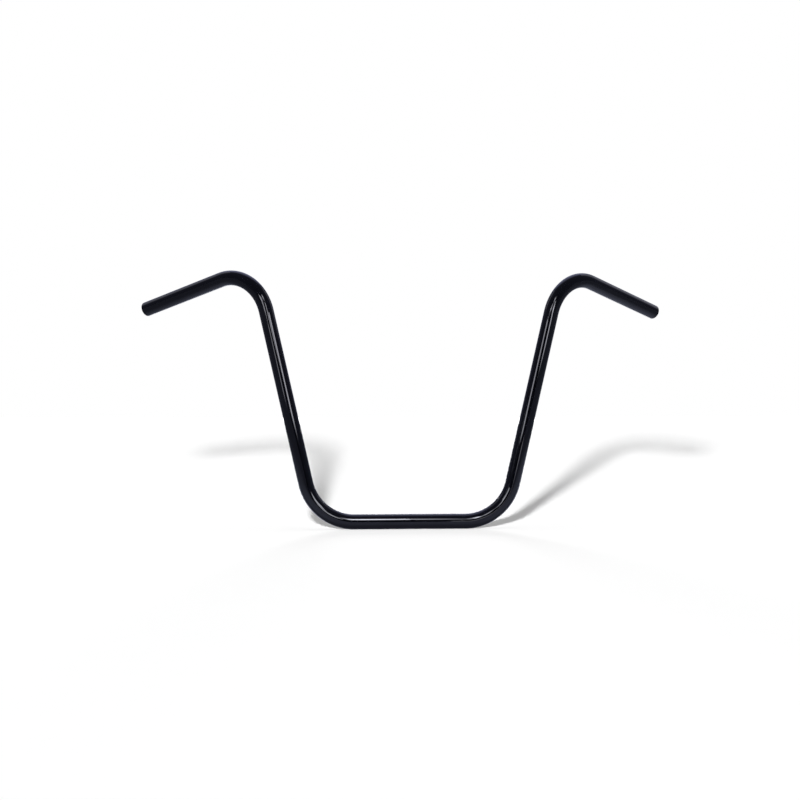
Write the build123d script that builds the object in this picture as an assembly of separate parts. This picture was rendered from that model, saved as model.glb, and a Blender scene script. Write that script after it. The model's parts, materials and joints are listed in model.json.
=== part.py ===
from build123d import *
from math import cos, radians, sin, tan
import os

# Ape hanger handlebar: one round steel tube, bent four times, the same on both sides.
# Millimetres and degrees. The origin is the middle of the clamp section, on the tube's axis.
# +X runs along the clamp section, +Y points to the rider, +Z is up in the plane of the uprights.

# Tube section
tube_diameter = 22.2
tube_wall = 2.1
rim_round = 0.5

# Straight runs of the tube, between its bends
clamp_straight = 165.4
upright_straight = 262.0
grip_straight = 155.5

# Bends, measured to the tube's axis
lower_bend_radius = 74.1
upper_bend_radius = 64.1

# Directions of the runs
upright_lean = 12.9
grip_sweep = 35.5
grip_drop = 14.3


def run_direction(lean_up, swing_back):
    """The direction of a run that rises by one angle above +X and turns back from it by another."""
    level = cos(radians(lean_up))
    return Vector(
        level * cos(radians(swing_back)),
        level * sin(radians(swing_back)),
        sin(radians(lean_up)),
    )


def bend_setback(before, after, radius):
    """How far a bend of that radius begins before the corner where two runs would meet."""
    return radius * tan(radians(before.get_angle(after)) / 2)


def corner_points():
    """The corners of the right half's axis, from the lower bend to the end of the grip."""
    along_clamp = Vector(1, 0, 0)
    along_upright = run_direction(90 - upright_lean, 0)
    along_grip = run_direction(-grip_drop, grip_sweep)
    lower_setback = bend_setback(along_clamp, along_upright, lower_bend_radius)
    upper_setback = bend_setback(along_upright, along_grip, upper_bend_radius)
    lower_corner = along_clamp * (clamp_straight / 2 + lower_setback)
    upper_corner = lower_corner + along_upright * (lower_setback + upright_straight + upper_setback)
    grip_end = upper_corner + along_grip * (upper_setback + grip_straight)
    return lower_corner, upper_corner, grip_end


def mirrored(point):
    """The same point on the other side of the bar."""
    return Vector(-point.X, point.Y, point.Z)


def tube_axis():
    """The whole bar's axis: straight runs joined by tangent arcs."""
    lower_corner, upper_corner, grip_end = corner_points()
    right_half = [lower_corner, upper_corner, grip_end]
    left_half = [mirrored(point) for point in reversed(right_half)]
    bends = [upper_bend_radius, lower_bend_radius, lower_bend_radius, upper_bend_radius]
    return FilletPolyline(*left_half, *right_half, radius=bends)


def handlebar_tube():
    """The bent tube, with its bore open at both ends and every rim rounded."""
    axis = tube_axis()
    outside = tube_diameter / 2
    start = Plane(axis @ 0, z_dir=axis % 0)
    section = start * (Circle(outside) - Circle(outside - tube_wall))
    tube = sweep(section, path=axis)
    cut_ends = tube.faces().filter_by(GeomType.PLANE)
    return fillet(cut_ends.edges(), rim_round)


os.makedirs("parts", exist_ok=True)
export_step(handlebar_tube(), "parts/handlebar_tube.step")
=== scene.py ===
"""The ape hanger handlebar as it looks: a fine mesh of the bent tube in gloss black, on a pale floor."""
import json
from collections import namedtuple
from math import ceil, cos, pi, radians, sin, tan

import bpy
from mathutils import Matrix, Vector


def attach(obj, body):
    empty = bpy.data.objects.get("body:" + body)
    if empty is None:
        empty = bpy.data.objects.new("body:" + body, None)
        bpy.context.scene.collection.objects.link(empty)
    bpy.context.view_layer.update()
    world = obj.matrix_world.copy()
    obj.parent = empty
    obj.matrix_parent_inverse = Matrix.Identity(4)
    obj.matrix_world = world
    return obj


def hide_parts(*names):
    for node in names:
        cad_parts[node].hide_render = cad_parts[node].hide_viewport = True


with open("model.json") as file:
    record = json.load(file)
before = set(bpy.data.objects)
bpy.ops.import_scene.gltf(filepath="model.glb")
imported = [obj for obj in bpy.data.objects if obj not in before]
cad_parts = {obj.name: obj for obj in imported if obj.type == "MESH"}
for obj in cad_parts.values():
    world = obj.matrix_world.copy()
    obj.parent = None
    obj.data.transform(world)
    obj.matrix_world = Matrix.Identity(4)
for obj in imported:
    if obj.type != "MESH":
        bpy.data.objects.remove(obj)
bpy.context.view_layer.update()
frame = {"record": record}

# Shape values that the record's mounts don't give, in metres
UPRIGHT_LEAN = radians(12.9)
RIM_ROUND = 0.0005

# Fineness of the mesh
SIDES = 128
OUTSIDE_RUN_STEP = 0.006
OUTSIDE_BEND_STEP = radians(2.0)
BORE_RUN_STEP = 0.024
BORE_BEND_STEP = radians(4.0)
RIM_STEPS = 6

# Noise in the materials: its waves per metre and its detail, the range that most of its values lie in, and
# the height of a relief made from it
Noise = namedtuple("Noise", "scale detail")
NOISE_RANGE = (0.3, 0.7)
RELIEF_HEIGHT = 0.0002

# Gloss black paint: mottle in its colour, unevenness in its gloss, and orange peel
PAINT_DARK = (0.0010, 0.0011, 0.0022, 1)
PAINT_LIGHT = (0.0022, 0.0023, 0.0038, 1)
PAINT_MOTTLE = Noise(45, 3)
PAINT_GLOSS = Noise(180, 4)
PAINT_ROUGHNESS = (0.03, 0.055)
PAINT_PEEL = Noise(320, 2)
PAINT_PEEL_STRENGTH = 0.04

# Steel in the bore
STEEL = (0.62, 0.60, 0.57, 1)
STEEL_METALLIC = 0.2
STEEL_GLOSS = Noise(400, 3)
STEEL_ROUGHNESS = (0.38, 0.55)
STEEL_GRAIN = Noise(900, 3)
STEEL_GRAIN_STRENGTH = 0.25

# Paint that reaches into the open ends of the bore with a ragged border, measured from the mouth
OVERSPRAY = (0.012, 0.012, 0.015, 1)
OVERSPRAY_START = 0.002
OVERSPRAY_END = 0.012
OVERSPRAY_BORDER = Noise(260, 4)
OVERSPRAY_BORDER_WIDTH = 0.008

# Camera, with its lens on a 36 mm sensor
CAMERA_PLACE = Vector((-0.1471, -1.8534, 0.1706))
CAMERA_AIM = Vector((-0.0148, 0.0, 0.1813))
CAMERA_LENS = 56.04

# Softboxes that only the bar sees: the place of the middle, width and height, turn in degrees from facing +Y,
# the height over which the lower edge fades in, and the brightness at the softbox's own left and right side.
# Some are also tilted down by some degrees, or have a grid that keeps their light within an angle. At a tilt
# of -90 degrees a softbox lies flat and faces up.
Softbox = namedtuple("Softbox", "place size turn fade levels tilt grid", defaults=(0, 180))
SOFTBOX_COLOUR = (1.0, 1.01, 1.12)
SOFTBOXES = {
    "softbox_right": Softbox((0.45, -1.12, 0.4075), (0.54, 0.335), 75, 0.06, (7.0, 7.0)),
    "softbox_left": Softbox((-0.58, -1.10, 0.47), (0.48, 0.34), -75, 0.03, (5.0, 5.0)),
    "reflector_left": Softbox((-0.28, -0.26, 0.2225), (0.06, 0.145), 21, 0.03, (3.0, 3.0)),
    "reflector_right": Softbox((0.24, -1.10, 0.07), (0.75, 0.10), -75, 0.03, (2.5, 2.5)),
    "softbox_top": Softbox((0.04, -1.12, 0.905), (0.14, 0.47), 2, 0.06, (24.0, 16.0), 39, 36),
    "softbox_top_right": Softbox((0.19, -1.12, 0.905), (0.16, 0.47), 10, 0.06, (9.0, 1.2), 39, 36),
    "softbox_top_left": Softbox((-0.18, -1.12, 0.74), (0.30, 0.28), -15, 0.06, (2.0, 11.0), 31, 36),
    "softbox_far_left": Softbox((-1.58, -4.0, 1.645), (1.04, 0.71), 0, 0.10, (5.0, 6.0)),
    "softbox_far_right": Softbox((1.80, -8.0, 2.30), (1.30, 2.60), 0, 0.30, (6.0, 6.0)),
    "rim_left": Softbox((-1.42, 0.78, 1.75), (0.90, 1.70), -123, 0.20, (0.60, 0.35)),
    "rim_right": Softbox((1.42, 0.78, 1.55), (0.90, 1.70), 123, 0.20, (0.35, 0.60)),
    "floor_strip": Softbox((0.0, 1.05, -0.01), (0.44, 1.40), 0, 0.20, (3.5, 3.5), -90),
}

# Backdrop that the bar sees in its gloss: brightness from front to back, and a brighter patch high behind the
# bar, which fades between two cosines of the angle to its middle
BACKDROP_COLOUR = (0.95, 1.0, 1.5, 1)
BACKDROP_STOPS = ((0.0, 0.02), (0.03, 0.02), (0.12, 0.08), (0.5, 0.11), (1.0, 0.20))
BACKDROP_TOP = Vector((0.0, 0.6, 0.8))
BACKDROP_TOP_FADE = (0.82, 0.97)
BACKDROP_TOP_LEVEL = 0.5
AMBIENT_LEVEL = 0.12
WHITE = (1, 1, 1, 1)

# Lamps that light the floor and draw the bar's shadow on it: place, radius, brightness on the floor
FLOOR_LAMPS = {
    "shadow_lamp_low": (Vector((-0.293, -1.909, 0.508)), 0.048, 0.23),
    "shadow_lamp_middle": (Vector((-0.293, -1.909, 0.537)), 0.048, 0.23),
    "shadow_lamp_high": (Vector((-0.293, -1.909, 0.568)), 0.048, 0.23),
    "overhead_lamp": (Vector((0.0, -0.1, 1.6)), 0.50, 0.10),
    "low_lamp": (Vector((0.0, 2.0, 0.40)), 0.30, 0.13),
}

# Floor for the camera: its white and its own glow, which grows far away so that no horizon shows
FLOOR_SIZE = 40.0
FLOOR_MIDDLE = Vector((0.0, 0.0, 0.0))
FLOOR_WHITE = (0.9, 0.9, 0.9, 1)
FLOOR_GLOW = 0.085
FLOOR_FAR = (10.0, 16.0)
FLOOR_FAR_GLOW = 1.0

# Floor in the bar's gloss: dim in general, with painted light near the bar and painted shade right under it,
# and a painted pool of light behind it. Each fades between two distances.
FLOOR_DIM = (0.15, 0.16, 0.22, 1)
FLOOR_PAINTED_LIGHT = (0.46, 0.49, 0.66, 1)
FLOOR_PAINTED_LIGHT_MIDDLE = Vector((0.1, 0.05, 0.0))
FLOOR_PAINTED_LIGHT_FADE = (0.3, 0.85)
FLOOR_PAINTED_SHADE_FADE = (0.004, 0.024)
FLOOR_PAINTED_POOL = (0.80, 0.84, 1.0, 1)
FLOOR_PAINTED_POOL_MIDDLE = Vector((0.0, 1.3, 0.0))
FLOOR_PAINTED_POOL_FADE = (0.45, 0.9)

mounts = {mount["name"]: mount for mount in frame["record"]["mounts"]}


def mount_size(name, key):
    """A mount's size in metres."""
    return mounts[name]["dims"][key] / 1000


TUBE_RADIUS = mount_size("clamp_section", "r_mm")
BORE_RADIUS = mount_size("left_bar_end_bore", "r_mm")


# Course of the tube


def run(start, end, step):
    """Points and directions along a straight run, without its last point."""
    course = end - start
    count = ceil(course.length / step)
    return [(start + course * (i / count), course.normalized()) for i in range(count)]


def bend(start, before, after, radius, step):
    """Points and directions along an arc that turns one direction into another, without its last point."""
    turn = before.angle(after)
    inward = (after - before * before.dot(after)).normalized()
    count = ceil(turn / step)
    stations = []
    for i in range(count):
        angle = turn * i / count
        place = start + before * (radius * sin(angle)) + inward * (radius * (1 - cos(angle)))
        stations.append((place, before * cos(angle) + inward * sin(angle)))
    return stations


def half_course(run_step, bend_step):
    """The right half's axis, from the middle of the clamp section to the start of the end rim."""
    along_clamp = Vector((1, 0, 0))
    along_upright = Vector((sin(UPRIGHT_LEAN), 0, cos(UPRIGHT_LEAN)))
    seat = mounts["left_grip_seat"]
    along_grip = Vector(seat["axis"])
    seat_middle = Vector(seat["pos_m"])
    half_seat = along_grip * (mount_size("left_grip_seat", "length_mm") / 2)
    upper_corner = seat_middle - along_grip * (seat_middle.y / along_grip.y)
    lower_corner = upper_corner - along_upright * (upper_corner.z / along_upright.z)
    clamp_end = along_clamp * (mount_size("clamp_section", "length_mm") / 2)
    grip_start = seat_middle - half_seat
    grip_end = seat_middle + half_seat
    lower_setback = (lower_corner - clamp_end).length
    upper_setback = (grip_start - upper_corner).length
    lower_radius = lower_setback / tan(along_clamp.angle(along_upright) / 2)
    upper_radius = upper_setback / tan(along_upright.angle(along_grip) / 2)
    upright_start = lower_corner + along_upright * lower_setback
    upright_end = upper_corner - along_upright * upper_setback
    return [
        *run(Vector((0, 0, 0)), clamp_end, run_step),
        *bend(clamp_end, along_clamp, along_upright, lower_radius, bend_step),
        *run(upright_start, upright_end, run_step),
        *bend(upright_end, along_upright, along_grip, upper_radius, bend_step),
        *run(grip_start, grip_end, run_step),
        (grip_end, along_grip),
    ]


def full_course(run_step, bend_step):
    """The whole axis from the left end to the right end, the same on both sides."""
    right = half_course(run_step, bend_step)
    left = [
        (Vector((-place.x, place.y, place.z)), Vector((way.x, -way.y, -way.z)))
        for place, way in reversed(right[1:])
    ]
    return left + right


def rings_along(course, radius):
    """Rings of one radius along a course, carried along it without twist."""
    sideways = Vector((0, 0, 1)).cross(course[0][1]).normalized()
    previous = course[0][1]
    rings = []
    for place, way in course:
        sideways = previous.rotation_difference(way) @ sideways
        previous = way
        rings.append((place, way, sideways, radius))
    return rings


def rim_rings(end_ring, outward):
    """Rings over a cut end, from the outside to the bore. Outward is 1 or -1 along the course."""
    place, way, sideways, _ = end_ring
    cut = place + way * (outward * RIM_ROUND)
    profile = []
    for i in range(1, RIM_STEPS + 1):
        angle = pi / 2 * i / RIM_STEPS
        profile.append((RIM_ROUND * (1 - sin(angle)), TUBE_RADIUS - RIM_ROUND * (1 - cos(angle))))
    for i in range(RIM_STEPS, 0, -1):
        angle = pi / 2 * i / RIM_STEPS
        profile.append((RIM_ROUND * (1 - sin(angle)), BORE_RADIUS + RIM_ROUND * (1 - cos(angle))))
    return [(cut - way * (outward * depth), way, sideways, radius) for depth, radius in profile]


def ring_points(ring):
    """The points of one ring."""
    place, way, sideways, radius = ring
    upward = way.cross(sideways)
    points = []
    for i in range(SIDES):
        angle = 2 * pi * i / SIDES
        points.append(place + (sideways * cos(angle) + upward * sin(angle)) * radius)
    return points


def tube_object(materials):
    """The tube as one closed mesh: outside, right rim, bore and left rim in one loop of rings."""
    outside = rings_along(full_course(OUTSIDE_RUN_STEP, OUTSIDE_BEND_STEP), TUBE_RADIUS)
    bore = rings_along(full_course(BORE_RUN_STEP, BORE_BEND_STEP), BORE_RADIUS)
    right_rim = rim_rings(outside[-1], 1)
    left_rim = rim_rings(outside[0], -1)
    loop = outside + right_rim + bore[::-1] + left_rim[::-1]
    first_bore_ring = len(outside) + len(right_rim)
    last_bore_ring = first_bore_ring + len(bore) - 1
    points = [point for ring in loop for point in ring_points(ring)]
    faces = []
    for i in range(len(loop)):
        here = i * SIDES
        there = (i + 1) % len(loop) * SIDES
        for j in range(SIDES):
            k = (j + 1) % SIDES
            faces.append((here + j, here + k, there + k, there + j))
    mesh = bpy.data.meshes.new("handlebar_tube_finish")
    mesh.from_pydata(points, [], faces)
    for material in materials:
        mesh.materials.append(material)
    for polygon in mesh.polygons:
        ring = polygon.index // SIDES
        polygon.use_smooth = True
        polygon.material_index = int(first_bore_ring <= ring < last_bore_ring)
    piece = bpy.data.objects.new("handlebar_tube_finish", mesh)
    bpy.context.scene.collection.objects.link(piece)
    return piece


# Nodes


def feed(tree, socket, value):
    """Links a node's output to a socket, or sets a constant on it."""
    if isinstance(value, bpy.types.NodeSocket):
        tree.links.new(value, socket)
    else:
        socket.default_value = value


def maths(tree, operation, *values):
    """The result of an operation on values, each of them a node's output or a number."""
    node = tree.nodes.new("ShaderNodeMath")
    node.operation = operation
    for socket, value in zip(node.inputs, values):
        feed(tree, socket, value)
    return node.outputs["Value"]


def vector_maths(tree, operation, *values):
    """A node for an operation on vectors, each of them a node's output or fixed."""
    node = tree.nodes.new("ShaderNodeVectorMath")
    node.operation = operation
    for socket, value in zip(node.inputs, values):
        feed(tree, socket, value)
    return node


def distance(tree, place, middle):
    """How far a place is from a fixed point."""
    return vector_maths(tree, "DISTANCE", place, middle).outputs["Value"]


def side(tree, place, axis):
    """One coordinate of a place."""
    node = tree.nodes.new("ShaderNodeSeparateXYZ")
    tree.links.new(place, node.inputs["Vector"])
    return node.outputs[axis]


def coordinates(tree, kind):
    """A texture coordinate."""
    return tree.nodes.new("ShaderNodeTexCoord").outputs[kind]


def noise(tree, place, kind):
    """A noise value at a place."""
    node = tree.nodes.new("ShaderNodeTexNoise")
    node.inputs["Scale"].default_value = kind.scale
    node.inputs["Detail"].default_value = kind.detail
    tree.links.new(place, node.inputs["Vector"])
    return node.outputs["Fac"]


def spread(tree, value, before, after):
    """A value mapped smoothly from one range to another."""
    node = tree.nodes.new("ShaderNodeMapRange")
    node.interpolation_type = "SMOOTHSTEP"
    node.inputs["From Min"].default_value, node.inputs["From Max"].default_value = before
    node.inputs["To Min"].default_value, node.inputs["To Max"].default_value = after
    tree.links.new(value, node.inputs["Value"])
    return node.outputs["Result"]


def blend_colours(tree, factor, first, second):
    """A colour that goes from the first to the second with a factor. Each is a node's output or fixed."""
    node = tree.nodes.new("ShaderNodeMix")
    node.data_type = "RGBA"
    sockets = [socket for socket in node.inputs if socket.enabled]
    for socket, value in zip(sockets, (factor, first, second)):
        feed(tree, socket, value)
    return next(socket for socket in node.outputs if socket.enabled)


def relief(tree, height, strength):
    """A normal with a fine relief from a height value."""
    node = tree.nodes.new("ShaderNodeBump")
    node.inputs["Strength"].default_value = strength
    node.inputs["Distance"].default_value = RELIEF_HEIGHT
    tree.links.new(height, node.inputs["Height"])
    return node.outputs["Normal"]


# Materials


def new_material(name):
    """An empty node material, with its nodes and their output."""
    material = bpy.data.materials.new(name)
    material.use_nodes = True
    tree = material.node_tree
    tree.nodes.clear()
    return material, tree, tree.nodes.new("ShaderNodeOutputMaterial")


def gloss_black_paint():
    """Gloss black powder coat: a faint orange peel, and a slight mottle in its colour and gloss."""
    material, tree, output = new_material("gloss_black_paint")
    shader = tree.nodes.new("ShaderNodeBsdfPrincipled")
    place = coordinates(tree, "Object")
    mottle = spread(tree, noise(tree, place, PAINT_MOTTLE), NOISE_RANGE, (0, 1))
    colour = blend_colours(tree, mottle, PAINT_DARK, PAINT_LIGHT)
    gloss = spread(tree, noise(tree, place, PAINT_GLOSS), NOISE_RANGE, PAINT_ROUGHNESS)
    peel = relief(tree, noise(tree, place, PAINT_PEEL), PAINT_PEEL_STRENGTH)
    tree.links.new(colour, shader.inputs["Base Color"])
    tree.links.new(gloss, shader.inputs["Roughness"])
    tree.links.new(peel, shader.inputs["Normal"])
    tree.links.new(shader.outputs["BSDF"], output.inputs["Surface"])
    return material


def bare_steel(tree, place):
    """How bare the bore is at a place: 0 under the paint at either mouth, 1 beyond the overspray."""
    seat = mounts["left_grip_seat"]
    reach = mount_size("left_grip_seat", "length_mm") / 2 + RIM_ROUND
    mouth = Vector(seat["pos_m"]) + Vector(seat["axis"]) * reach
    either_side = vector_maths(tree, "ABSOLUTE", place).outputs["Vector"]
    from_mouth = distance(tree, either_side, mouth)
    border = noise(tree, place, OVERSPRAY_BORDER)
    ragged = maths(tree, "MULTIPLY_ADD", border, OVERSPRAY_BORDER_WIDTH, from_mouth)
    half_border = OVERSPRAY_BORDER_WIDTH / 2
    return spread(tree, ragged, (OVERSPRAY_START + half_border, OVERSPRAY_END + half_border), (0, 1))


def bore_steel():
    """Drawn steel inside the bore, with black overspray that thins out from the mouth."""
    material, tree, output = new_material("bore_steel")
    shader = tree.nodes.new("ShaderNodeBsdfPrincipled")
    place = coordinates(tree, "Object")
    bare = bare_steel(tree, place)
    colour = blend_colours(tree, bare, OVERSPRAY, STEEL)
    metallic = spread(tree, bare, (0, 1), (0, STEEL_METALLIC))
    gloss = spread(tree, noise(tree, place, STEEL_GLOSS), NOISE_RANGE, STEEL_ROUGHNESS)
    grain = relief(tree, noise(tree, place, STEEL_GRAIN), STEEL_GRAIN_STRENGTH)
    tree.links.new(colour, shader.inputs["Base Color"])
    tree.links.new(metallic, shader.inputs["Metallic"])
    tree.links.new(gloss, shader.inputs["Roughness"])
    tree.links.new(grain, shader.inputs["Normal"])
    tree.links.new(shader.outputs["BSDF"], output.inputs["Surface"])
    return material


# Studio


def floor_in_gloss(tree, place):
    """The floor's colour in the bar's gloss: bluish and dim, with painted light near the bar, painted shade
    right under it and a painted pool of light behind it.
    """
    # Painted light: the floor's gloss colour is lighter near the bar
    near = spread(tree, distance(tree, place, FLOOR_PAINTED_LIGHT_MIDDLE), FLOOR_PAINTED_LIGHT_FADE, (1, 0))
    # Painted shade: the floor's gloss colour goes dim right under the bar
    from_bar = maths(tree, "ABSOLUTE", side(tree, place, "Y"))
    clear = spread(tree, from_bar, FLOOR_PAINTED_SHADE_FADE, (0, 1))
    painted_light_and_shade = blend_colours(tree, maths(tree, "MULTIPLY", near, clear), FLOOR_DIM, FLOOR_PAINTED_LIGHT)
    # Painted pool of light: the floor's gloss colour is lighter behind the bar
    pool = spread(tree, distance(tree, place, FLOOR_PAINTED_POOL_MIDDLE), FLOOR_PAINTED_POOL_FADE, (1, 0))
    return blend_colours(tree, pool, painted_light_and_shade, FLOOR_PAINTED_POOL)


def floor_material():
    """White for the camera, with the bar's shadow, and in the bar's gloss coloured with painted light and
    shade.
    """
    material, tree, output = new_material("studio_floor")
    seen = tree.nodes.new("ShaderNodeLightPath").outputs["Is Camera Ray"]
    place = coordinates(tree, "Object")
    matt = tree.nodes.new("ShaderNodeBsdfDiffuse")
    colour = blend_colours(tree, seen, floor_in_gloss(tree, place), FLOOR_WHITE)
    tree.links.new(colour, matt.inputs["Color"])
    glow = tree.nodes.new("ShaderNodeEmission")
    glow_here = spread(tree, distance(tree, place, FLOOR_MIDDLE), FLOOR_FAR, (FLOOR_GLOW, FLOOR_FAR_GLOW))
    tree.links.new(maths(tree, "MULTIPLY", seen, glow_here), glow.inputs["Strength"])
    both = tree.nodes.new("ShaderNodeAddShader")
    tree.links.new(matt.outputs["BSDF"], both.inputs[0])
    tree.links.new(glow.outputs["Emission"], both.inputs[1])
    tree.links.new(both.outputs["Shader"], output.inputs["Surface"])
    return material


def studio_floor():
    """A wide level floor that the clamp section rests on."""
    half = FLOOR_SIZE / 2
    level = -TUBE_RADIUS
    corners = [(-half, -half, level), (half, -half, level), (half, half, level), (-half, half, level)]
    mesh = bpy.data.meshes.new("studio_floor")
    mesh.from_pydata(corners, [], [(0, 1, 2, 3)])
    mesh.materials.append(floor_material())
    floor = bpy.data.objects.new("studio_floor", mesh)
    bpy.context.scene.collection.objects.link(floor)
    return floor


def new_lamp(name, data, place, receiver):
    """A lamp that the camera doesn't see and that lights only one object. All objects still cast shadows."""
    lamp = bpy.data.objects.new(name, data)
    lamp.location = place
    lamp.visible_camera = False
    bpy.context.scene.collection.objects.link(lamp)
    lit = bpy.data.collections.new(name + "_lights")
    lit.objects.link(receiver)
    lamp.light_linking.receiver_collection = lit
    return lamp


def grid_share(half_angle):
    """The share of the power that keeps a softbox as bright straight ahead behind a grid as without one."""
    if half_angle >= pi / 2:
        return 1
    return (tan(half_angle) - half_angle) / tan(half_angle)


def softbox(name, box, receiver):
    """A softbox that is seen only in the gloss of what it lights."""
    data = bpy.data.lights.new(name, "AREA")
    data.shape = "RECTANGLE"
    data.size, data.size_y = box.size
    data.spread = radians(box.grid)
    data.energy = pi * data.size * data.size_y * grid_share(data.spread / 2)
    data.color = SOFTBOX_COLOUR
    data.use_nodes = True
    tree = data.node_tree
    place = coordinates(tree, "UV")
    across = tree.nodes.new("ShaderNodeMapRange")
    across.inputs["To Min"].default_value, across.inputs["To Max"].default_value = box.levels
    tree.links.new(side(tree, place, "X"), across.inputs["Value"])
    rising = spread(tree, side(tree, place, "Y"), (0, box.fade / data.size_y), (0, 1))
    brightness = maths(tree, "MULTIPLY", across.outputs["Result"], rising)
    tree.links.new(brightness, tree.nodes["Emission"].inputs["Strength"])
    lamp = new_lamp(name, data, box.place, receiver)
    lamp.rotation_euler = (radians(90 - box.tilt), 0, radians(box.turn))


def floor_lamp(name, place, radius, level, floor):
    """A round lamp for the floor alone, as bright far away as near, so that the shadow keeps its depth."""
    data = bpy.data.lights.new(name, "POINT")
    data.shadow_soft_size = radius
    data.energy = 4 * pi * pi * level / (place.z + TUBE_RADIUS)
    data.use_nodes = True
    tree = data.node_tree
    falloff = tree.nodes.new("ShaderNodeLightFalloff")
    falloff.inputs["Strength"].default_value = 1.0
    path = tree.nodes.new("ShaderNodeLightPath")
    even = maths(tree, "MULTIPLY", falloff.outputs["Constant"], path.outputs["Ray Length"])
    tree.links.new(even, tree.nodes["Emission"].inputs["Strength"])
    new_lamp(name, data, place, floor)


def backdrop_level(tree):
    """How bright the backdrop is in each direction."""
    direction = coordinates(tree, "Generated")
    backward = tree.nodes.new("ShaderNodeMapRange")
    backward.inputs["From Min"].default_value = -1
    tree.links.new(side(tree, direction, "Y"), backward.inputs["Value"])
    ramp = tree.nodes.new("ShaderNodeValToRGB")
    elements = ramp.color_ramp.elements
    while len(elements) < len(BACKDROP_STOPS):
        elements.new(0.5)
    for element, (position, level) in zip(elements, BACKDROP_STOPS):
        element.position = position
        element.color = (level, level, level, 1)
    tree.links.new(backward.outputs["Result"], ramp.inputs["Fac"])
    to_top = vector_maths(tree, "DOT_PRODUCT", direction, BACKDROP_TOP).outputs["Value"]
    top = spread(tree, to_top, BACKDROP_TOP_FADE, (0, BACKDROP_TOP_LEVEL))
    return maths(tree, "ADD", ramp.outputs["Color"], top)


def background(tree, colour, strength):
    """A background of one colour. Its strength is a node's output or a number."""
    node = tree.nodes.new("ShaderNodeBackground")
    node.inputs["Color"].default_value = colour
    feed(tree, node.inputs["Strength"], strength)
    return node.outputs["Background"]


def choose(tree, factor, first, second):
    """The first shader where a factor is 0, and the second where it is 1."""
    node = tree.nodes.new("ShaderNodeMixShader")
    for socket, value in zip(node.inputs, (factor, first, second)):
        tree.links.new(value, socket)
    return node.outputs["Shader"]


def studio_world():
    """White for the camera, a bluish backdrop in gloss and glass, and a plain soft light on all else."""
    world = bpy.data.worlds.new("studio_world")
    bpy.context.scene.world = world
    world.use_nodes = True
    tree = world.node_tree
    tree.nodes.clear()
    output = tree.nodes.new("ShaderNodeOutputWorld")
    path = tree.nodes.new("ShaderNodeLightPath")
    mirrored = maths(tree, "MAXIMUM", path.outputs["Is Glossy Ray"], path.outputs["Is Transmission Ray"])
    ambient = background(tree, WHITE, AMBIENT_LEVEL)
    backdrop = background(tree, BACKDROP_COLOUR, backdrop_level(tree))
    unseen = choose(tree, mirrored, ambient, backdrop)
    surroundings = choose(tree, path.outputs["Is Camera Ray"], unseen, background(tree, WHITE, 1.0))
    tree.links.new(surroundings, output.inputs["Surface"])


def studio_camera():
    """The camera at the picture's viewing angle."""
    data = bpy.data.cameras.new("studio_camera")
    data.lens = CAMERA_LENS
    data.clip_end = FLOOR_SIZE * 2
    camera = bpy.data.objects.new("studio_camera", data)
    camera.location = CAMERA_PLACE
    camera.rotation_euler = (CAMERA_AIM - CAMERA_PLACE).to_track_quat("-Z", "Y").to_euler()
    bpy.context.scene.collection.objects.link(camera)
    bpy.context.scene.camera = camera


tube = tube_object([gloss_black_paint(), bore_steel()])
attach(tube, "root")
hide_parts("handlebar_tube")

floor = studio_floor()
for name, box in SOFTBOXES.items():
    softbox(name, box, tube)
for name, lamp in FLOOR_LAMPS.items():
    floor_lamp(name, *lamp, floor)
studio_world()
studio_camera()
bpy.context.scene.view_settings.view_transform = "Standard"
